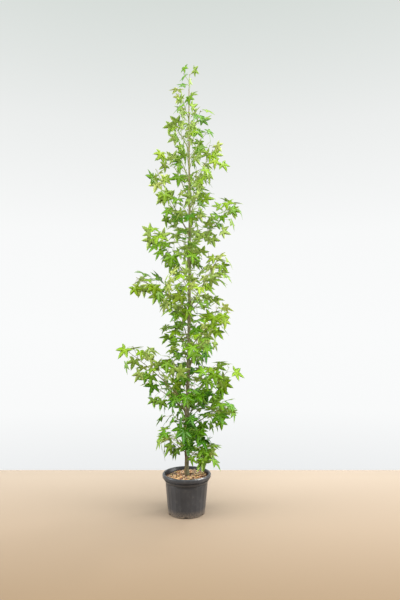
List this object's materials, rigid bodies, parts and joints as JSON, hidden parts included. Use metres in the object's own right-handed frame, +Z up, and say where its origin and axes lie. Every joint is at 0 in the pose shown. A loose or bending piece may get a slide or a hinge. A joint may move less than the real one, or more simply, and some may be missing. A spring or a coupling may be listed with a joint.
{
  "type": "sweetgum tree in a nursery pot",
  "caption": "Young sweetgum tree in a plain round nursery pot: a slim straight trunk, feathered with short leafy boughs from just above the rim up to its tip.",
  "frame": {"origin": "middle of the pot's flat underside", "axes": "+Z up along the trunk, +X to the right and -Y towards the viewer when the long low bough points left"},
  "size_m": [0.8752, 0.6194, 3.1167],
  "materials": {
    "pot": "dusty dark grey moulded plastic",
    "soil": "rough bark mulch over potting soil",
    "bark": "thin grey-brown bark with fine cracks",
    "foliage": "thin fresh green leaves with paler undersides"
  },
  "bodies": {
    "root": {"pot": "pot", "soil": "soil", "trunk": "bark", "bough_01": "bark", "bough_02": "bark", "bough_03": "bark", "bough_04": "bark", "bough_05": "bark", "bough_06": "bark", "bough_07": "bark", "bough_08": "bark", "bough_09": "bark", "bough_10": "bark", "bough_11": "bark", "bough_12": "bark", "bough_13": "bark", "bough_14": "bark", "bough_15": "bark", "bough_16": "bark", "bough_17": "bark", "bough_18": "bark", "leaves_01": "foliage", "leaves_02": "foliage", "leaves_03": "foliage", "leaves_04": "foliage", "leaves_05": "foliage", "leaves_06": "foliage", "leaves_07": "foliage", "leaves_08": "foliage", "leaves_09": "foliage", "leaves_10": "foliage", "leaves_11": "foliage", "leaves_12": "foliage", "leaves_13": "foliage", "leaves_14": "foliage", "leaves_15": "foliage", "leaves_16": "foliage", "leaves_17": "foliage", "leaves_18": "foliage", "low_spray_1": "foliage", "low_spray_2": "foliage", "low_spray_3": "foliage", "inner_shoot_01": "foliage", "inner_shoot_02": "foliage", "inner_shoot_03": "foliage", "inner_shoot_04": "foliage", "inner_shoot_05": "foliage", "inner_shoot_06": "foliage", "top_shoot_01": "foliage", "top_shoot_02": "foliage", "top_shoot_03": "foliage", "top_shoot_04": "foliage", "top_shoot_05": "foliage", "top_shoot_06": "foliage", "top_shoot_07": "foliage", "top_shoot_08": "foliage", "top_shoot_09": "foliage", "top_shoot_10": "foliage", "top_shoot_11": "foliage", "crown_tip": "foliage"}
  },
  "joints": []
}
